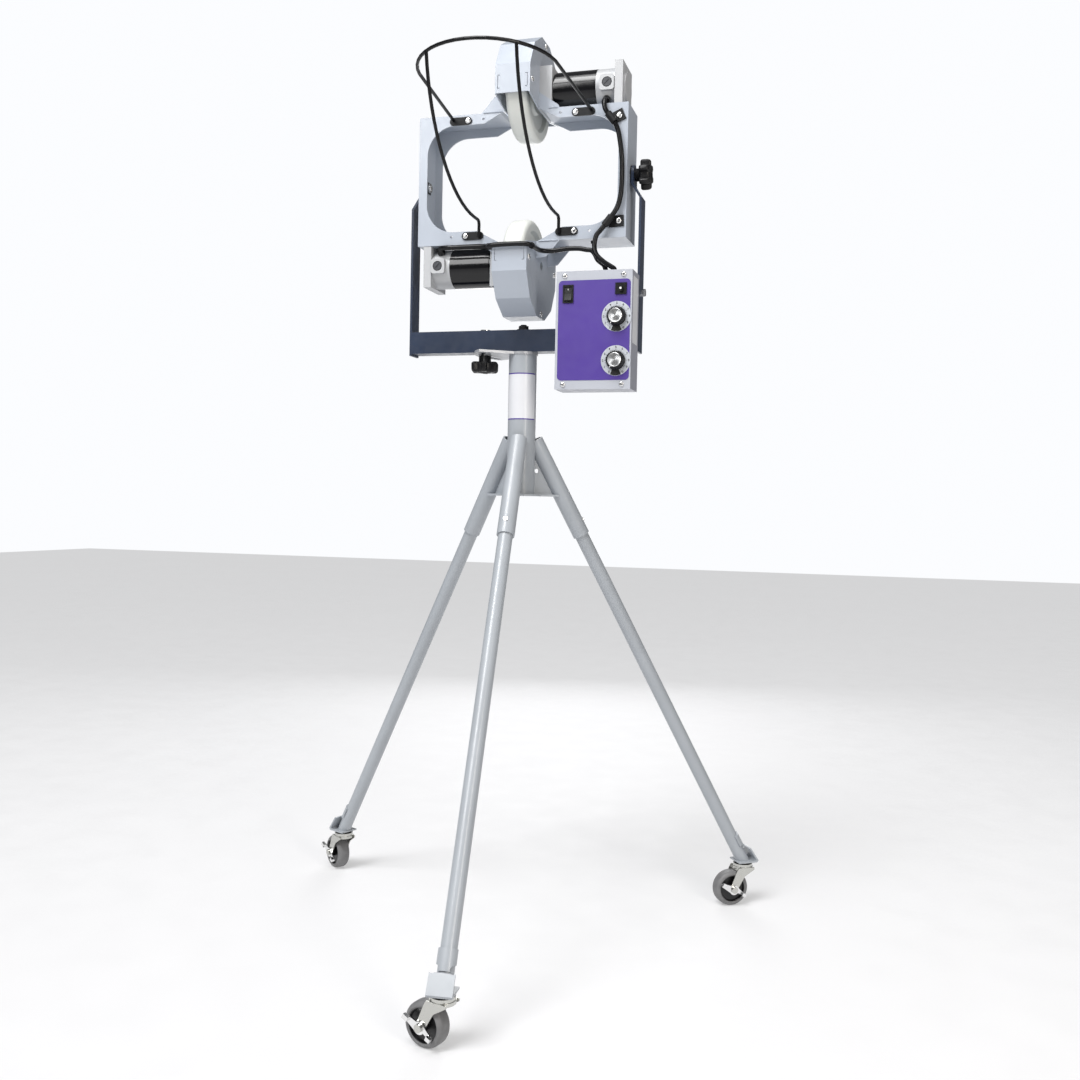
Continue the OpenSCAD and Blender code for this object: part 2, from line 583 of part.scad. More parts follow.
// Bushings where the leads enter, and the gland of the power lead at the back
module cable_glands() color("#181818") {
  for (p = box_leads) difference() {
    z_rod(9.5, box_top, box_top + 3, p[0], p[1]);
    z_rod(6.2, box_top - 1, box_top + 4, p[0], p[1]);
  }
  difference() {
    union() {
      y_rod(10, box_back, box_back + 4, 122, 1126);
      y_rod(8, box_back + 4, box_back + 12, 122, 1126);
    }
    y_rod(4, box_back - 1, box_back + 13, 122, 1126);
  }
}
module box_screws() color("silver") for (p = lid_screws) {
  y_rod(5, box_front - 5, box_front - 2, p[0], p[1]);
  y_rod(2, box_front - 2, box_front + 8, p[0], p[1]);
}
module panel_overlay() color("indigo") difference() {
  xz_plate(panel_y, box_front - 2) union() {
    translate([97, 1126]) square([142, 176]);
    translate([105, 1118]) square([126, 192]);
    for (x = [105, 231]) for (z = [1126, 1302]) translate([x, z]) circle(8);
  }
  panel_cutouts();
}
module dial_plates() color("silver") for (z = dial_z) difference() {
  y_rod(29, panel_y - 0.8, panel_y, dial_x, z);
  y_rod(5, -100, -80, dial_x, z);
}
// Snap-in bodies of the switch and the circuit breaker
module switch_housings() color("#101012") {
  difference() {
    union() {
      slab([106, panel_y - 2, 1266.5], [127, panel_y, 1301.5]);
      slab([107.2, panel_y, 1268.2], [125.8, -64, 1299.8]);
    }
    slab([109, -100, 1270], [124, -72, 1298]);
    x_rod(1.55, 107.9, 125.1, -87, 1284);
  }
  difference() {
    union() {
      slab([209.5, panel_y - 2.5, 1280.5], [231.5, panel_y, 1302.5]);
      slab([211.2, panel_y, 1282.2], [229.8, -50, 1300.8]);
    }
    xz_plate(-100, -70) translate([220.5, 1291.5]) stadium(4.1);
  }
}
module potentiometers() color("#8a8a86") for (z = dial_z) difference() {
  union() {
    y_rod(4.8, panel_y + 0.6, box_front, dial_x, z);
    y_rod(12, box_front, box_front + 14, dial_x, z);
  }
  y_rod(3.06, -100, box_front + 11, dial_x, z);
}
module control_board() color("darkgreen") {
  slab([100, -42, 1112], [196, -40.4, 1250]);
  slab([108, -60, 1130], [142, -42, 1168]);
  for (z = [1190, 1216]) y_rod(9, -64, -42, 160, z);
  slab([106, -40.4, 1120], [112, -26, 1126]);
  slab([186, -40.4, 1236], [192, -26, 1242]);
}
module dial(z) color("#18181a") translate([dial_x, 0, z]) difference() {
  union() {
    y_rod(18.5, panel_y - 6.2, panel_y - 1.2);
    y_rod(17, panel_y - 15, panel_y - 6.2);
    y_rod(13, panel_y - 16, panel_y - 15);
    y_rod(3, panel_y - 1.2, box_front + 10);
  }
  for (k = [0:11]) rotate([0, 30 * k + 15, 0]) y_rod(2, -120, panel_y - 6.2, 18.2);
}
module stadium(r) {
  for (s = [-1, 1]) translate([0, s * 2.5]) circle(r);
  translate([-r, -2.5]) square([2 * r, 5]);
}
module breaker_button() color("#101012") xz_plate(-95, -76) translate([220.5, 1291.5]) stadium(4);
module switch_rocker() color("#101012") translate([0, -87, 1284]) {
  yz_plate(109.4, 123.6) polygon([[8, -11], [-6, -12.4], [-3.6, 0], [-2.6, 12.4], [8, 11]]);
  x_rod(1.5, 108, 125);
}

post();
leg_sleeves();
hub_plate();
swivel_plate();
swivel_bolt();
leg(0);  // leg_front
leg(1);  // leg_right
leg(2);  // leg_left
foot_brackets();
caster_races();
snap_springs();
caster_fork(0);  // caster_fork_front
caster_wheel(0);  // caster_wheel_front
caster_brake(0);  // caster_brake_front
caster_fork(1);  // caster_fork_right
caster_wheel(1);  // caster_wheel_right
caster_brake(1);  // caster_brake_right
caster_fork(2);  // caster_fork_left
caster_wheel(2);  // caster_wheel_left
caster_brake(2);  // caster_brake_left
snap_button(0);  // snap_button_front
snap_button(1);  // snap_button_right
snap_button(2);  // snap_button_left
yoke_bar();
yoke_arms();
swivel_knob();
tilt_knob();
pivot_washers();
head_frame();
guard_gussets();
guard(false);  // upper_guard
guard(true);  // lower_guard
motor_brackets();
motor_cans();
motor_magnets();
motor_endbells();
armature(false);  // upper_armature
armature(true);  // lower_armature
throwing_wheel(false);  // upper_throwing_wheel
throwing_wheel(true);  // lower_throwing_wheel
guide_hoop();
guide_rods();
head_screws();
head_leads();
flex_leads();
control_box();
box_lid();
box_screws();
panel_overlay();
dial_plates();
switch_housings();
potentiometers();
control_board();
dial(dial_z[0]);  // upper_dial
dial(dial_z[1]);  // lower_dial
switch_rocker();
yoke_bolts();
head_clips();
cable_glands();
breaker_button();
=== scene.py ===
# Over and under wheel ball throwing machine on a wheeled tripod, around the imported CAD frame.
import json
import math
import bpy
import bmesh
from mathutils import Matrix, Vector


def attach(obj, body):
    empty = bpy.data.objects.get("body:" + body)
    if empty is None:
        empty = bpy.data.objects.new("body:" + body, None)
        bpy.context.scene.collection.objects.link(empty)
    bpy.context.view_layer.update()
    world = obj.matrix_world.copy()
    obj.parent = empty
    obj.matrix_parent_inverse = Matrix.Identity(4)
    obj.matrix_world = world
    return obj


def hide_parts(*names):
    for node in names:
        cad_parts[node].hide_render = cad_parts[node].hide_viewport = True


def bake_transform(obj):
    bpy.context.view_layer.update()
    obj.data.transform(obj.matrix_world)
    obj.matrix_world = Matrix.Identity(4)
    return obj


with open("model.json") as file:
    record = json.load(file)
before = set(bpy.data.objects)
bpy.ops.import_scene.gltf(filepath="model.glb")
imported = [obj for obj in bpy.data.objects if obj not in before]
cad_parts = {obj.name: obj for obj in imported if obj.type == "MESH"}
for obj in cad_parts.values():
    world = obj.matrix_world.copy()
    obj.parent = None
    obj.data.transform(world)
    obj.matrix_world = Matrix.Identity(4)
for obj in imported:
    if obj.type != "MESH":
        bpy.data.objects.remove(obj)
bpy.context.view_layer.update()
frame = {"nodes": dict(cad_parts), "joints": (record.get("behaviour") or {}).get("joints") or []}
nodes = frame["nodes"]
scene = bpy.context.scene
scene.view_settings.view_transform = "Standard"
PIVOT = 1.53    # height of the tilt pivot, midway between the wheels
AXLE = 0.171    # from the pivot to each wheel's axle

# ---------- camera ----------
yaw, pitch, roll = 0.28397, -0.03015, 0.02046
forward = Vector((-math.sin(yaw) * math.cos(pitch), math.cos(yaw) * math.cos(pitch), math.sin(pitch)))
right = Vector((math.cos(yaw), math.sin(yaw), 0))
up = right.cross(forward)
right_r = math.cos(roll) * right + math.sin(roll) * up
up_r = -math.sin(roll) * right + math.cos(roll) * up
cam_data = bpy.data.cameras.new("camera")
cam_data.lens = 37.56
cam_data.sensor_width = 36
cam = bpy.data.objects.new("camera", cam_data)
cam.matrix_world = Matrix.Translation((0.6866, -2.2022, 0.8742)) @ Matrix(
    (right_r, up_r, -forward)).transposed().to_4x4()
scene.collection.objects.link(cam)
scene.camera = cam


# ---------- materials ----------
def new_material(name):
    m = bpy.data.materials.new(name)
    m.use_nodes = True
    t = m.node_tree
    return m, t, t.nodes["Principled BSDF"]


def node(t, kind, **values):
    """A new node with these inputs, whose names have _ for a space."""
    n = t.nodes.new(kind)
    for k, v in values.items():
        n.inputs[k.replace("_", " ")].default_value = v
    return n


def noise(t, scale, detail=3.0, rough=0.5):
    coords = t.nodes.new("ShaderNodeTexCoord")
    n = node(t, "ShaderNodeTexNoise", Scale=scale, Detail=detail, Roughness=rough)
    t.links.new(coords.outputs["Object"], n.inputs["Vector"])
    return n.outputs["Fac"]


def remap(t, fac, low, high, start=0.3, end=0.7):
    """Carries start..end of a value to low..high. The defaults suit noise, which keeps near 0.5."""
    n = node(t, "ShaderNodeMapRange", From_Min=start, From_Max=end, To_Min=low, To_Max=high)
    t.links.new(fac, n.inputs["Value"])
    return n.outputs["Result"]


def mix(t, fac, a, b):
    """Mixes two colours or colour sockets. Inputs 6 and 7 and output 2 are the node's colour sockets."""
    n = t.nodes.new("ShaderNodeMix")
    n.data_type = "RGBA"
    t.links.new(fac, n.inputs["Factor"])
    for v, s in ((a, n.inputs[6]), (b, n.inputs[7])):
        if isinstance(v, bpy.types.NodeSocket):
            t.links.new(v, s)
        else:
            s.default_value = (*v, 1)
    return n.outputs[2]


def bump(t, bsdf, fac, distance):
    n = node(t, "ShaderNodeBump", Strength=1.0, Distance=distance)
    t.links.new(fac, n.inputs["Height"])
    t.links.new(n.outputs["Normal"], bsdf.inputs["Normal"])


def shade(c, k):
    return tuple(min(1.0, v * k) for v in c)


def finish_material(name, color, rough, *, grain, depth, metallic=0.0, coat=0.0, spread=0.06, cloud=14.0,
                    worn=None, specular=0.5):
    """One surface finish: clouded colour, uneven roughness, fine surface relief, and flecks of a worn
    colour where one is given."""
    m, t, b = new_material(name)
    b.inputs["Metallic"].default_value = metallic
    b.inputs["Coat Weight"].default_value = coat
    b.inputs["Coat Roughness"].default_value = 0.12
    b.inputs["Specular IOR Level"].default_value = specular
    clouds = remap(t, noise(t, cloud, 4.0), 0.0, 1.0)
    c = mix(t, clouds, shade(color, 1 - spread), shade(color, 1 + spread))
    if worn:
        flecks = remap(t, noise(t, 210.0, 6.0, 0.7), 0.0, 0.6, 0.66, 0.74)
        c = mix(t, flecks, c, worn)
    t.links.new(c, b.inputs["Base Color"])
    uneven = remap(t, noise(t, cloud * 6, 4.0), rough * 0.82, min(1.0, rough * 1.18))
    t.links.new(uneven, b.inputs["Roughness"])
    bump(t, b, noise(t, grain, 2.0), depth)
    return m


def vector_math(t, operation, vector, other=None):
    n = t.nodes.new("ShaderNodeVectorMath")
    n.operation = operation
    t.links.new(vector, n.inputs[0])
    if other is not None:
        n.inputs[1].default_value = other
    return n


def ring_mask(t, center, axis, radius):
    """1 outside the radius round an axis, 0 inside, in object space."""
    soft = 0.0004
    coords = t.nodes.new("ShaderNodeTexCoord")
    off = vector_math(t, "SUBTRACT", coords.outputs["Object"], center)
    across = vector_math(t, "CROSS_PRODUCT", off.outputs["Vector"], axis)
    length = vector_math(t, "LENGTH", across.outputs["Vector"])
    return remap(t, length.outputs["Value"], 0.0, 1.0, radius - soft, radius + soft)


FRAME_BLUE = (0.40, 0.44, 0.505)
LEG_GREY = (0.355, 0.38, 0.41)
JET = (0.003, 0.003, 0.004)
mats = {
    "frame": finish_material("frame_powder_coat", FRAME_BLUE, 0.34, coat=0.25, grain=1100, depth=0.00002,
                             spread=0.03, worn=(0.62, 0.64, 0.66)),
    "leg": finish_material("leg_powder_coat", LEG_GREY, 0.36, coat=0.2, grain=1100, depth=0.00002,
                           spread=0.04, worn=(0.6, 0.62, 0.63)),
    "yoke": finish_material("yoke_black_coat", (0.015, 0.026, 0.055), 0.36, coat=0.1, grain=1200,
                            depth=0.00002, spread=0.15, worn=(0.12, 0.12, 0.13)),
    "cast": finish_material("cast_silver_paint", (0.45, 0.46, 0.475), 0.42, metallic=0.15, grain=420,
                            depth=0.0001, spread=0.05, worn=(0.75, 0.75, 0.76)),
    "swivel": finish_material("swivel_plate_grey", (0.40, 0.41, 0.43), 0.4, metallic=0.3, grain=600,
                              depth=0.00004, spread=0.05, worn=(0.8, 0.8, 0.8)),
    "can": finish_material("motor_black_enamel", JET, 0.16, specular=0.45, grain=300, depth=0.00002,
                           spread=0.2),
    "lid": finish_material("lid_grey_enamel", (0.43, 0.45, 0.50), 0.38, coat=0.15, grain=900,
                           depth=0.00004, spread=0.03, worn=(0.7, 0.7, 0.72)),
    "box": finish_material("box_grey_enamel", (0.30, 0.31, 0.36), 0.42, coat=0.1, grain=900,
                           depth=0.00005, spread=0.04, worn=(0.5, 0.5, 0.52)),
    "wire": finish_material("wire_black_coat", JET, 0.34, specular=0.3, grain=900, depth=0.000004,
                            spread=0.1, cloud=4),
    "zinc": finish_material("zinc_plate", (0.55, 0.55, 0.52), 0.27, metallic=1.0, grain=700,
                            depth=0.000004, spread=0.03, cloud=5),
    "bright": finish_material("bright_steel", (0.80, 0.80, 0.80), 0.2, metallic=1.0, grain=500,
                              depth=0.00002, spread=0.05, cloud=40),
    "alu": finish_material("spun_aluminium", (0.62, 0.62, 0.64), 0.3, metallic=1.0, grain=600,
                           depth=0.00002, spread=0.04, cloud=50),
    "urethane": finish_material("white_urethane", (0.70, 0.72, 0.69), 0.38, grain=260, depth=0.00008,
                                spread=0.04, cloud=22),
    "rubber": finish_material("black_rubber", (0.006, 0.006, 0.007), 0.5, specular=0.3, grain=600,
                              depth=0.00006, spread=0.2),
    "lead": finish_material("lead_jacket", JET, 0.3, specular=0.3, grain=700, depth=0.000004, spread=0.1,
                            cloud=3),
    "plastic": finish_material("black_moulded_plastic", (0.004, 0.004, 0.005), 0.42, specular=0.35, grain=900,
                               depth=0.00005, spread=0.15),
    "film": finish_material("purple_film", (0.072, 0.038, 0.265), 0.42, coat=0.1, grain=1500, depth=0.00002,
                            spread=0.05, cloud=9),
    "white": finish_material("white_ink", (0.80, 0.80, 0.82), 0.45, grain=900, depth=0.00001, spread=0.02),
    "black_ink": finish_material("black_ink", (0.01, 0.01, 0.01), 0.5, grain=900, depth=0.00001, spread=0.1),
    "label": finish_material("label_film", (0.67, 0.68, 0.71), 0.4, coat=0.2, grain=1200, depth=0.00001,
                             spread=0.02),
    "magnet": finish_material("magnet_ferrite", (0.05, 0.05, 0.05), 0.6, grain=400, depth=0.00008,
                              spread=0.2),
    "board": finish_material("circuit_board", (0.02, 0.16, 0.07), 0.4, coat=0.3, grain=700, depth=0.00003),
    "plate": finish_material("satin_dial_plate", (0.62, 0.65, 0.70), 0.36, metallic=0.4, grain=900,
                             depth=0.00001, spread=0.02, cloud=30),
    "cap_grey": finish_material("brush_cap_phenolic", (0.045, 0.048, 0.055), 0.4, grain=600, depth=0.00002,
                                spread=0.1),
    "dark_zinc": finish_material("black_zinc_plate", (0.03, 0.03, 0.033), 0.34, metallic=0.7, grain=400,
                                 depth=0.00002, spread=0.15, cloud=50),
}


def spun_metal(name, color, rough):
    """Turned metal whose highlight runs out in rays from the centre."""
    m, t, b = new_material(name)
    b.inputs["Metallic"].default_value = 1.0
    b.inputs["Anisotropic"].default_value = 0.85
    turn = t.nodes.new("ShaderNodeTangent")
    turn.direction_type = "RADIAL"
    turn.axis = "Y"
    t.links.new(turn.outputs["Tangent"], b.inputs["Tangent"])
    fine = noise(t, 900.0, 3.0)
    c = mix(t, remap(t, fine, 0.0, 1.0), shade(color, 0.94), shade(color, 1.04))
    t.links.new(c, b.inputs["Base Color"])
    t.links.new(remap(t, fine, rough * 0.9, rough * 1.1), b.inputs["Roughness"])
    return m


mats["spun"] = spun_metal("spun_cap", (0.86, 0.87, 0.88), 0.28)


def two_tone(name, center, axis, radius, inner, outer, inner_rough, outer_rough):
    """A wheel of two stuffs, told apart by the distance from its axle."""
    m, t, b = new_material(name)
    mask = ring_mask(t, center, axis, radius)
    clouds = remap(t, noise(t, 70.0, 5.0), 0.0, 1.0)
    hub = mix(t, clouds, shade(inner, 0.8), shade(inner, 1.2))
    tread = mix(t, clouds, shade(outer, 0.85), shade(outer, 1.12))
    t.links.new(mix(t, mask, hub, tread), b.inputs["Base Color"])
    t.links.new(remap(t, mask, inner_rough, outer_rough, 0.0, 1.0), b.inputs["Roughness"])
    bump(t, b, noise(t, 350.0, 3.0), 0.00008)
    return m


legs = ("front", "right", "left")
EDGE_ANGLE = math.radians(32)


def each(prefix):
    """The names of the nodes that every leg has one of."""
    return [prefix + n for n in legs]


def joint(name):
    return next(j for j in frame["joints"] if j["name"] == name)


def paint(names, finish):
    for n in names:
        o = nodes[n]
        o.data.materials.clear()
        o.data.materials.append(mats[finish])


def soften(names, width, segments=2):
    """Rounds the sharp edges of CAD nodes by a small radius."""
    for n in names:
        o = nodes[n]
        o.data.shade_smooth()
        o.data.set_sharp_from_angle(angle=EDGE_ANGLE)
        b = o.modifiers.new("edge", "BEVEL")
        b.width = width
        b.segments = segments
        b.limit_method = "ANGLE"
        b.angle_limit = EDGE_ANGLE
        b.harden_normals = True
        b.use_clamp_overlap = True


paint(["post", "leg_sleeves", "hub_plate", "foot_brackets"] + each("leg_"), "leg")
paint(["head_frame", "guard_gussets", "upper_guard", "lower_guard"], "frame")
paint(["yoke_bar", "yoke_arms"], "yoke")
paint(["motor_brackets", "motor_endbells"], "cast")
paint(["swivel_plate"], "swivel")
paint(["motor_cans"], "can")
paint(["box_lid"], "lid")
paint(["control_box"], "box")
paint(["guide_hoop", "guide_rods"], "wire")
paint(["swivel_bolt"], "dark_zinc")
paint(["caster_races", "snap_springs"] + each("caster_fork_"), "zinc")
paint(["yoke_bolts"] + each("snap_button_") + each("caster_brake_"), "bright")
paint(["potentiometers"], "alu")
paint(["dial_plates"], "plate")
paint(["upper_throwing_wheel", "lower_throwing_wheel"], "urethane")
paint(["pivot_washers", "cable_glands", "head_clips"], "rubber")
paint(["switch_housings", "switch_rocker", "breaker_button"], "plastic")
paint(["panel_overlay"], "film")
paint(["motor_magnets"], "magnet")
paint(["upper_armature", "lower_armature"], "bright")
paint(["control_board"], "board")

soften(["head_frame", "upper_guard", "lower_guard", "guard_gussets", "hub_plate"], 0.0008)
soften(["yoke_bar", "yoke_arms"], 0.0012)
soften(["motor_endbells"], 0.0016, 3)
soften(["motor_brackets", "box_lid", "control_box", "foot_brackets", "swivel_plate"], 0.0008)
soften(["motor_cans", "cable_glands", "pivot_washers", "caster_races", "swivel_bolt", "yoke_bolts"], 0.0005)
soften(["head_clips", "dial_plates", "switch_housings", "breaker_button", "switch_rocker"], 0.0004)
soften(["post", "leg_sleeves"] + each("leg_") + each("caster_fork_") + each("caster_brake_")
       + each("snap_button_") + each("caster_wheel_"), 0.0005)
for n in ("guide_hoop", "guide_rods", "upper_throwing_wheel", "lower_throwing_wheel"):
    nodes[n].data.shade_smooth()
    nodes[n].data.set_sharp_from_angle(angle=math.radians(40))

CASTER_HUB_R = 0.0284    # where the grey tread begins
for n in legs:
    axle = joint("caster_%s_roll" % n)
    mats["tread_" + n] = two_tone("caster_tread_" + n, axle["pos_m"], axle["axis"], CASTER_HUB_R,
                                  (0.005, 0.005, 0.006), (0.165, 0.165, 0.168), 0.35, 0.5)
    paint(["caster_wheel_" + n], "tread_" + n)


# ---------- mesh helpers ----------
def add_object(name, bm, material, body=None, smooth_angle=35):
    me = bpy.data.meshes.new(name)
    bmesh.ops.recalc_face_normals(bm, faces=bm.faces)
    bm.to_mesh(me)
    bm.free()
    me.shade_smooth()
    me.set_sharp_from_angle(angle=math.radians(smooth_angle))
    for m in material if isinstance(material, (list, tuple)) else [material]:
        me.materials.append(mats[m])
    o = bpy.data.objects.new(name, me)
    scene.collection.objects.link(o)
    if body:
        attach(o, body)
    return o


def loft(bm, rings, closed=True, material=0):
    """Joins rings of equal count into a skin, its ends closed or open. Each ring is a list of points."""
    made = [[bm.verts.new(p) for p in ring] for ring in rings]
    n = len(made[0])
    for a, b in zip(made, made[1:]):
        for k in range(n):
            f = bm.faces.new((a[k], a[(k + 1) % n], b[(k + 1) % n], b[k]))
            f.material_index = material
    if closed:
        for ring in (made[0], made[-1]):
            bm.faces.new(ring).material_index = material


def axis_frame(direction):
    """Two directions across an axis, and the axis."""
    z = Vector(direction).normalized()
    x = z.orthogonal().normalized()
    return x, z.cross(x), z


def around(count):
    return [2 * math.pi * k / count for k in range(count)]


def turned(bm, base, direction, profile, radial=None, count=32, closed=True, material=0):
    """A turned solid: profile is (radius, height) pairs along direction from base.
    radial(k, angle, radius) gives the radius at profile point k where it isn't round."""
    x, y, z = axis_frame(direction)
    base = Vector(base)
    rings = [[base + z * h + (x * math.cos(a) + y * math.sin(a)) * (radial(k, a, r) if radial else r)
              for a in around(count)] for k, (r, h) in enumerate(profile)]
    loft(bm, rings, closed, material)


TINY = 1e-6


def cross_recess(a, arm, half):
    """Radius of a cross-shaped recess in direction a."""
    p = (a + math.pi / 4) % (math.pi / 2) - math.pi / 4
    return min(arm / math.cos(p), half / max(abs(math.sin(p)), TINY))


def slot_recess(a, arm, half):
    """Radius of a straight slot in direction a."""
    return min(arm / max(abs(math.cos(a)), TINY), half / max(abs(math.sin(a)), TINY))


SCREW_H = 0.003


def screw_head(bm, base, direction, r):
    """A domed head with a cross recess, base on the surface it sits on."""
    arm, half = r * 0.55, r * 0.13
    dome = [(r, 0), (r, SCREW_H * 0.35), (r * 0.93, SCREW_H * 0.62), (r * 0.78, SCREW_H * 0.85),
            (r * 0.62, SCREW_H * 0.97)]
    recess = [(1.0, SCREW_H), (0.8, SCREW_H * 0.45)]    # its radii are shares of the cross

    def radial(k, a, rr):
        return rr if k < len(dome) else cross_recess(a, arm, half) * rr
    turned(bm, base, direction, dome + recess, radial, 48)


def tube(bm, points, radius, sides=16):
    """A round tube along points, with a twist-free frame."""
    pts = [Vector(p) for p in points]
    tangents = [(pts[min(i + 1, len(pts) - 1)] - pts[max(i - 1, 0)]).normalized() for i in range(len(pts))]
    u = tangents[0].orthogonal().normalized()
    rings = []
    for p, t in zip(pts, tangents):
        u = (u - t * u.dot(t)).normalized()
        v = t.cross(u)
        rings.append([p + radius * (u * math.cos(a) + v * math.sin(a)) for a in around(sides)])
    loft(bm, rings)


def smooth_path(points, steps=6):
    """Uniform Catmull-Rom curve through the points."""
    pts = [Vector(p) for p in points]
    out = []
    for i in range(len(pts) - 1):
        a, b, c, d = pts[max(i - 1, 0)], pts[i], pts[i + 1], pts[min(i + 2, len(pts) - 1)]
        for s in range(steps):
            t = s / steps
            out.append(0.5 * ((2 * b) + (c - a) * t + (2 * a - 5 * b + 4 * c - d) * t * t
                              + (3 * b - a - 3 * c + d) * t ** 3))
    out.append(pts[-1])
    return out


def from_pivot(points):
    """Places in mm from the pivot, turned into metres in the frame."""
    return [(x / 1000, y / 1000, PIVOT + z / 1000) for x, y, z in points]


def mirror_unit(p):
    """A point of the upper throwing unit carried to the lower one."""
    return (-p[0], p[1], 2 * PIVOT - p[2])


# ---------- caster seals ----------
SEAL = ((0.0152, 0.0948), (0.0176, 0.0948), (0.0182, 0.0938), (0.0182, 0.0922), (0.0152, 0.0912))
bm = bmesh.new()
for n in legs:
    stem = joint("caster_%s_swivel" % n)["pos_m"]
    turned(bm, (stem[0], stem[1], 0), (0, 0, 1), SEAL, count=48, closed=False)
add_object("caster_seals", bm, "rubber", "tripod")

# ---------- leads ----------
upper_route = [(170, -32, 141), (170, -37, 137.4), (170, -42.5, 136.2), (170, -47.5, 134), (170.5, -51.5, 128),
               (172, -53.5, 120), (176, -54, 111), (182, -53, 103), (190, -53, 93), (199, -52, 74),
               (204, -52, 50), (208, -52, 20), (209, -52, -10), (208, -52, -45), (203, -52, -70),
               (196, -53, -84), (188, -53, -94), (179, -54, -106), (170, -56, -118)]
lower_route = [(-170, -32, -141), (-170, -37, -137.4), (-168, -42.5, -136.4), (-162, -47.5, -136),
               (-150, -50.5, -136.5), (-135, -51, -137), (-100, -51, -137), (-72, -52, -138), (-54, -60, -142),
               (-46, -76, -147), (-44.5, -98, -150), (-42.5, -106.5, -150.7), (-36, -112, -151),
               (-18, -112.5, -150), (18, -112.5, -150), (36, -112, -151), (42.5, -106.5, -151.7),
               (44.5, -98, -152), (46, -76, -152), (52, -60, -153), (70, -52, -153), (100, -50, -150),
               (124, -49, -150), (140, -49, -153)]
upper_flex = [(169.7, -56.1, -118.4), (162, -57.8, -128.7), (159, -60, -148), (164, -63, -166),
              (178, -64, -180), (193, -63, -190), (200, -62.5, -195), (202, -62, -202)]
lower_flex = [(140.5, -49, -153.1), (151, -49, -155), (158, -49, -163), (164, -49, -174), (176, -49, -184),
              (180, -49, -193), (182, -49, -202)]
LEAD_R = 0.00475
bm = bmesh.new()
for route in (upper_route, lower_route):
    tube(bm, smooth_path(from_pivot(route)), LEAD_R)
head_leads = add_object("motor_leads_on_head", bm, "lead", "head")
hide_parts("head_leads")
bm = bmesh.new()
for route in (upper_flex, lower_flex):
    tube(bm, smooth_path(from_pivot(route)), LEAD_R)
loose_leads = add_object("motor_leads_loose", bm, "lead")
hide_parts("flex_leads")
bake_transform(loose_leads)

# zip ties round the leads: a place on the lead, and its direction there
TIE = ((0.0049, -0.0024), (0.0061, -0.0024), (0.0061, 0.0024), (0.0049, 0.0024))
bm = bmesh.new()
for place, along in (((-44.4, -100, -150), (0.1, -1, 0)), ((44.4, -100, -152), (0.1, 1, 0)),
                     ((156, -52, -140), (0, 0, 1))):
    turned(bm, from_pivot([place])[0], along, TIE, count=24, closed=False)
add_object("lead_ties", bm, "plastic", "head")

TIE_TAIL_R = 0.0009
bm = bmesh.new()
tube(bm, smooth_path([(0.1560, -0.0570, 1.3885), (0.1572, -0.0600, 1.3800), (0.1560, -0.0612, 1.3700)]),
     TIE_TAIL_R, 8)
add_object("lead_tie_tail", bm, "plastic", "head")

# ---------- welds ----------
BEAD_R, BEAD_PITCH, RINGS_A_BEAD = 0.0019, 0.0034, 4
GUSSET_FACE = 0.0432


def weld(bm, a, b):
    """A row of overlapping beads from a to b."""
    a, b = Vector(a), Vector(b)
    steps = max(2, round((b - a).length / BEAD_PITCH)) * RINGS_A_BEAD
    x, y, z = axis_frame(b - a)
    rings = []
    for i in range(steps + 1):
        swell = 0.62 + 0.38 * abs(math.sin(math.pi * i / RINGS_A_BEAD)) if 0 < i < steps else 0.4
        r = BEAD_R * swell
        rings.append([a + (b - a) * i / steps + (x * math.cos(t) + y * math.sin(t)) * r for t in around(10)])
    loft(bm, rings)


# along the gussets' feet and up the guard, at (x, z) from the pivot
bm = bmesh.new()
for y in (-GUSSET_FACE, GUSSET_FACE):
    for ends in (((-0.080, 0.1302), (-0.040, 0.1302)), ((0.056, 0.1302), (0.075, 0.1302)),
                 ((0.0362, 0.134), (0.0362, 0.158)), ((-0.0362, 0.136), (-0.0362, 0.158))):
        p, q = ((x, y, PIVOT + z) for x, z in ends)
        weld(bm, p, q)
        weld(bm, mirror_unit(p), mirror_unit(q))
add_object("gusset_welds", bm, "frame", "head", 60)

# ---------- screws ----------
HEAD_SCREW_R, LID_SCREW_R = 0.006, 0.005
FRAME_FRONT, LID_FRONT, GUARD_SIDE = -0.0455, -0.088, 0.0355
bm = bmesh.new()
# the guide's four clips and the leads' two, in mm from the pivot
for x, z in ((112, 117), (-112, 117), (113, -114), (-113, -114), (200, 104), (203, -99)):
    screw_head(bm, (x / 1000, FRAME_FRONT, PIVOT + z / 1000), (0, -1, 0), HEAD_SCREW_R)
# three on each side of a guard, placed from its axle
for side in (-1, 1):
    for y, z in ((-0.090, 0), (0.090, 0), (0, 0.096)):
        p = (side * GUARD_SIDE, y, PIVOT + AXLE + z)
        screw_head(bm, p, (side, 0, 0), HEAD_SCREW_R)
        screw_head(bm, mirror_unit(p), (-side, 0, 0), HEAD_SCREW_R)
head_screws = add_object("head_screw_heads", bm, "bright", "head")
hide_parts("head_screws")
bm = bmesh.new()
for x in (0.109, 0.225):
    for z in (1.110, 1.319):
        screw_head(bm, (x, LID_FRONT, z), (0, -1, 0), LID_SCREW_R)
lid_screws = add_object("lid_screw_heads", bm, "bright", "yoke")
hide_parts("box_screws")


# ---------- knobs ----------
KNOB_R, LOBES = 0.0293, 6


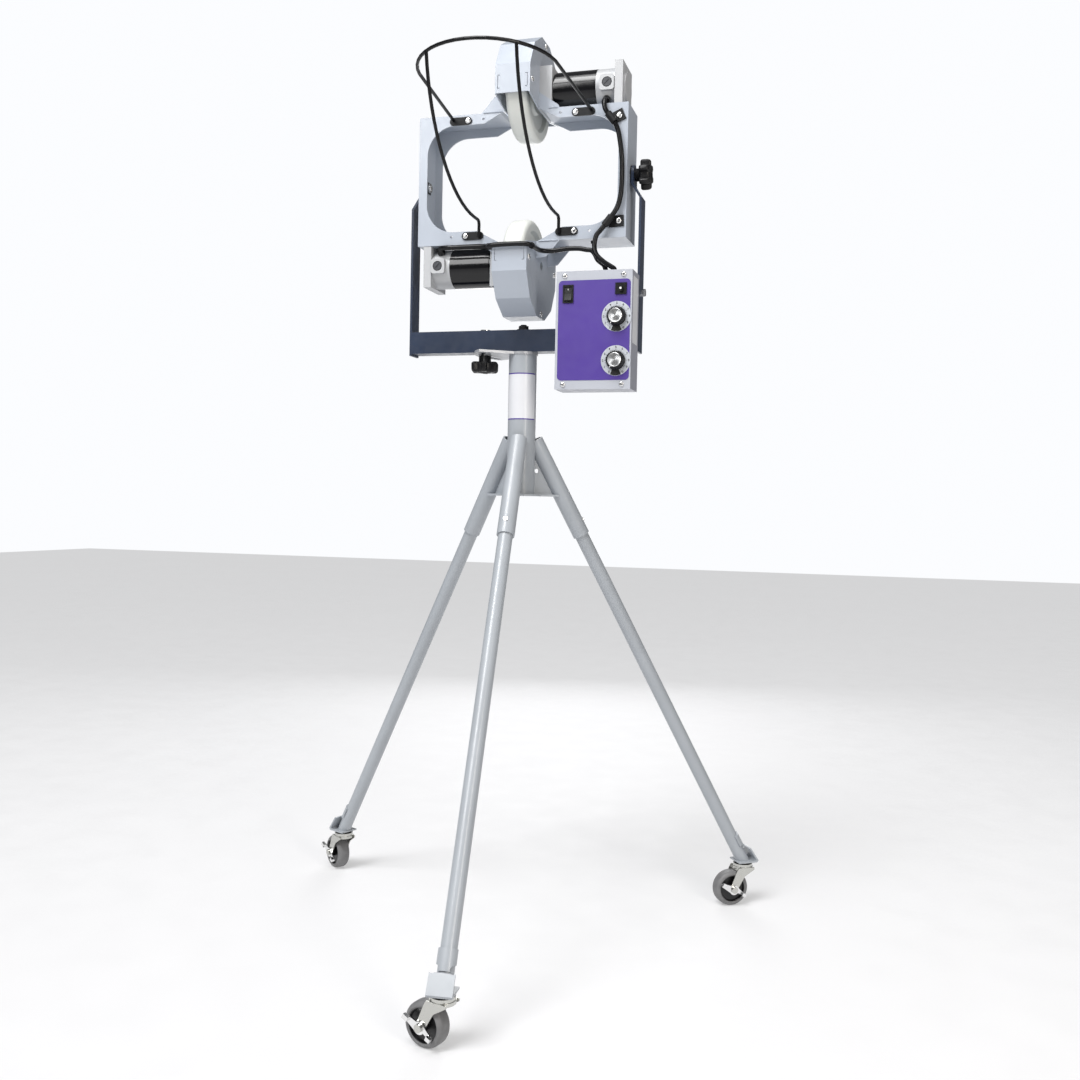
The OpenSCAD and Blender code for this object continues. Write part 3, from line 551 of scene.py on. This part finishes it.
def lobed_knob(name, base, direction, hub, height, body, replaced):
    """Six-lobed clamping knob on a hub."""
    bm = bmesh.new()
    top = hub + height

    def radial(k, a, r):
        """The dips between the lobes, from the knob's underside to its top edge."""
        dip = min(1.0, max(0.0, 0.72 - 0.95 * math.cos(LOBES * a)))
        return r - (KNOB_R * 0.29 * dip * dip * (3 - 2 * dip)) if 4 <= k <= 9 else r
    turned(bm, base, direction,
           [(0.0122, 0), (0.0125, 0.0008), (0.0125, hub - 0.002), (0.0145, hub),
            (KNOB_R - 0.003, hub + 0.0004), (KNOB_R - 0.0007, hub + 0.0022), (KNOB_R, hub + 0.005),
            (KNOB_R - 0.0003, top - 0.006), (KNOB_R - 0.0017, top - 0.0022), (KNOB_R - 0.0043, top - 0.0004),
            (0.0150, top), (0.0120, top - 0.0008), (0.0100, top - 0.0024), (0.0040, top - 0.0026)],
           radial, 144)
    o = add_object(name, bm, "plastic", body, 50)
    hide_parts(replaced)


lobed_knob("tilt_lock_knob", (0.2265, 0, PIVOT), (1, 0, 0), 0.009, 0.021, "tilt_knob", "tilt_knob")
lobed_knob("swivel_lock_knob", (-0.082, 0, 1.1798), (0, 0, -1), 0.012, 0.022, "swivel_knob", "swivel_knob")
bm = bmesh.new()
turned(bm, (0.206, 0, PIVOT), (1, 0, 0), [(0.0045, 0), (0.00495, 0.0005), (0.00495, 0.022)])
add_object("tilt_stud", bm, "bright", "tilt_knob")

# square washer under the left pivot's nut
HALF = 0.0115
bm = bmesh.new()
loft(bm, [[(x, y, PIVOT + z) for y, z in ((-HALF, -HALF), (HALF, -HALF), (HALF, HALF), (-HALF, HALF))]
          for x in (-0.2138, -0.2122)])
add_object("pivot_square_washer", bm, "dark_zinc", "yoke")

# slotted caps over the motor brushes
CAP = [(0.0090, 0), (0.0090, 0.0010), (0.0084, 0.0016), (0, 0.0016), (0, 0.0004)]
bm = bmesh.new()
for side in (-1, 1):
    base = (0.173, side * 0.0438, PIVOT + AXLE)
    for p in (base, mirror_unit(base)):
        turned(bm, p, (0, side, 0), CAP, lambda k, a, r: r if k < 3 else slot_recess(a, 0.0066, 0.0010), 64)
add_object("brush_caps", bm, "cap_grey", "head")

# ---------- dials ----------
DIAL_X, UPPER_DIAL_Z, LOWER_DIAL_Z = 0.213, 1.239, 1.155
PANEL_Y = -0.0886
PRINT_FRONT, PRINT_BACK = PANEL_Y - 0.00095, PANEL_Y - 0.0007
INK = 0.00012
START, SWEEP = 210, 300    # the dial's zero and its travel, in degrees clockwise


def dial_direction(turn):
    """Direction on the panel, in degrees clockwise from the top as the operator sees it."""
    a = math.radians(turn)
    return Vector((math.sin(a), 0, math.cos(a)))


def glyph(bm, text, center, size):
    """A printed number, flat on the panel."""
    curve = bpy.data.curves.new("glyph", "FONT")
    curve.body = text
    curve.size = size
    curve.align_x = "CENTER"
    curve.align_y = "CENTER"
    curve.extrude = INK / 2
    curve.offset = INK
    o = bpy.data.objects.new("glyph", curve)
    scene.collection.objects.link(o)
    bpy.context.view_layer.update()
    me = bpy.data.meshes.new_from_object(o.evaluated_get(bpy.context.evaluated_depsgraph_get()))
    me.transform(Matrix.Translation(center) @ Matrix.Rotation(math.pi / 2, 4, "X"))
    bm.from_mesh(me)
    bpy.data.objects.remove(o)
    bpy.data.curves.remove(curve)
    bpy.data.meshes.remove(me)


def bar(bm, a, b, width, y0, y1, material=0):
    """A flat stroke on the panel from a to b."""
    a, b = Vector(a), Vector(b)
    side = (b - a).normalized().cross(Vector((0, 1, 0))) * width / 2
    loft(bm, [[Vector((p.x, y, p.z)) for p in (a - side, b - side, b + side, a + side)] for y in (y0, y1)],
         material=material)


bm = bmesh.new()
for z in (UPPER_DIAL_Z, LOWER_DIAL_Z):
    c = Vector((DIAL_X, 0, z))
    for k in range(51):
        d = dial_direction(START + SWEEP * k / 50)
        outer, width = (0.0222, 0.0006) if k % 5 == 0 else (0.0208, 0.00035)
        bar(bm, c + d * 0.0192, c + d * outer, width, PRINT_FRONT, PRINT_BACK)
    # the black sector by the stop
    stop = [dial_direction(158 + 4.4 * k) for k in range(11)]
    sector = [(d, 0.0285) for d in stop] + [(d, 0.0150) for d in reversed(stop)]
    loft(bm, [[Vector((c.x + d.x * r, y, z + d.z * r)) for d, r in sector]
              for y in (PRINT_FRONT, PRINT_BACK)])
    for k in range(11):
        p = c + dial_direction(START + SWEEP * k / 10) * 0.0252
        glyph(bm, str(k), Vector((p.x, PANEL_Y - 0.00087, p.z)), 0.0058)
add_object("dial_scales", bm, "black_ink", "yoke")

FLUTES = 24


def control_dial(name, z, body):
    """Fluted skirt knob with a spun cap and a white pointer line."""
    bm = bmesh.new()
    y0 = PANEL_Y - 0.0012
    grip = 0.0136

    def radial(k, a, r):
        """The flutes, from the skirt to the grip's top edge."""
        return r * (1 - 0.07 * (0.5 - 0.5 * math.cos(FLUTES * a)) ** 1.5) if 3 <= k <= 5 else r
    turned(bm, (DIAL_X, y0, z), (0, -1, 0),
           [(0.0182, 0), (0.0187, 0.0005), (0.0186, 0.0022), (0.0182, 0.0032), (0.0170, 0.0124),
            (0.0163, 0.0133), (0.0144, 0.0138), (0.0136, grip), (0.0040, grip)],
           radial, 144)
    turned(bm, (DIAL_X, y0 - grip, z), (0, -1, 0),
           [(0.0133, 0), (0.0133, 0.0008), (0.0127, 0.0012), (0.0100, 0.0008), (0.0060, 0.0011),
            (0.0008, 0.0010)], count=72, material=1)
    d = dial_direction(START)
    c = Vector((DIAL_X, 0, z))
    # the pointer, on the grip and on the skirt
    for inner, outer, front, back in ((0.0136, 0.0172, 0.0141, 0.0060), (0.0180, 0.0191, 0.0024, 0.0004)):
        bar(bm, c + d * inner, c + d * outer, 0.0011, y0 - front, y0 - back, 2)
    o = add_object(name, bm, ["plastic", "spun", "white"], body, 40)
    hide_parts(body)


control_dial("upper_dial_knob", UPPER_DIAL_Z, "upper_dial")
control_dial("lower_dial_knob", LOWER_DIAL_Z, "lower_dial")

# white ring on the breaker's button and white mark on the rocker
bm = bmesh.new()
turned(bm, (0.2205, -0.095, 1.2915), (0, -1, 0),
       [(0.0021, 0), (0.0021, 0.0002), (0.0014, 0.00021), (0.0014, 0.00002)], count=24)
add_object("breaker_mark", bm, "white", "breaker")
bm = bmesh.new()
bar(bm, (0.1165, 0, 1.2905), (0.1165, 0, 1.2945), 0.0007, -0.09005, -0.0896)
add_object("rocker_mark", bm, "white", "rocker")

# ---------- blank labels ----------
POST_R = 0.0285
LABEL_LOW, LABEL_TOP, STRIPE = 1.048, 1.142, 0.0024    # heights of its ends and of its purple stripes
LABEL_FROM, LABEL_TO, LABEL_STEPS = -150, -10, 24      # degrees round the post
bm = bmesh.new()
for thick, z0, z1, slot in ((0.00012, LABEL_LOW, LABEL_TOP, 0), (0.0002, LABEL_TOP - STRIPE, LABEL_TOP, 1),
                            (0.0002, LABEL_LOW, LABEL_LOW + STRIPE, 1)):
    inner, outer = POST_R - 0.0001, POST_R + thick
    rings = []
    for i in range(LABEL_STEPS + 1):
        a = math.radians(LABEL_FROM + (LABEL_TO - LABEL_FROM) * i / LABEL_STEPS)
        d = Vector((math.cos(a), math.sin(a), 0))
        corners = ((outer, z1), (inner, z1), (inner, z0), (outer, z0))
        rings.append([d * r + Vector((0, 0, z)) for r, z in corners])
    loft(bm, rings, material=slot)
add_object("post_label_blank", bm, ["label", "film"], "tripod")
bm = bmesh.new()
loft(bm, [[(x, y, z) for y, z in ((-0.078, 1.190), (-0.034, 1.190), (-0.034, 1.318), (-0.078, 1.318))]
          for x in (0.242, 0.24215)])
add_object("box_label_blank", bm, "label", "yoke")

# ---------- stage ----------
bm = bmesh.new()
loft(bm, [[(-12, -9, z), (12, -9, z), (12, 14, z), (-12, 14, z)] for z in (-0.02, 0.0)])
mats["floor"] = finish_material("pale_floor", (0.50, 0.50, 0.51), 0.7, grain=60, depth=0.0001, spread=0.01,
                                cloud=1.5)
shine = mats["floor"].node_tree.nodes["Principled BSDF"]
shine.inputs["Emission Color"].default_value = (1.0, 1.0, 1.0, 1)
shine.inputs["Emission Strength"].default_value = 0.34
floor = add_object("floor", bm, "floor")

# the world is white to the camera and dim as a light
world = bpy.data.worlds.new("studio")
scene.world = world
world.use_nodes = True
sky = world.node_tree
backdrop = sky.nodes["Background"]
backdrop.inputs["Color"].default_value = (0.97, 0.98, 1.0, 1)
path = sky.nodes.new("ShaderNodeLightPath")
sky.links.new(remap(sky, path.outputs["Is Camera Ray"], 0.16, 1.0, 0.0, 1.0), backdrop.inputs["Strength"])


def aimed(direction):
    """The rotation of a lamp that shines along a direction."""
    return Vector(direction).to_track_quat("-Z", "Y").to_euler()


def area_light(name, location, target, size, power, color=(1.0, 1.0, 1.0)):
    data = bpy.data.lights.new(name, "AREA")
    data.shape = "RECTANGLE"
    data.size, data.size_y = size
    data.energy = power
    data.color = color
    o = bpy.data.objects.new(name, data)
    o.location = location
    o.rotation_euler = aimed(Vector(target) - Vector(location))
    scene.collection.objects.link(o)


area_light("key_left", (-1.4, -2.8, 3.2), (0, 0, 1.2), (1.3, 1.6), 54)
area_light("fill_right", (2.6, -2.4, 2.0), (0, 0, 1.1), (0.7, 2.2), 48, (1.0, 0.94, 0.86))
area_light("top", (0.2, -0.9, 4.0), (0, 0, 1.2), (1.6, 1.6), 40)
area_light("behind", (-0.7, 3.0, 1.7), (0, 0, 1.1), (1.4, 1.8), 26)
sun = bpy.data.lights.new("overall", "SUN")
sun.energy = 1.9
sun.angle = 0.45
sun_lamp = bpy.data.objects.new("overall", sun)
sun_lamp.rotation_euler = aimed((0.25, 0.62, -1.0))
scene.collection.objects.link(sun_lamp)
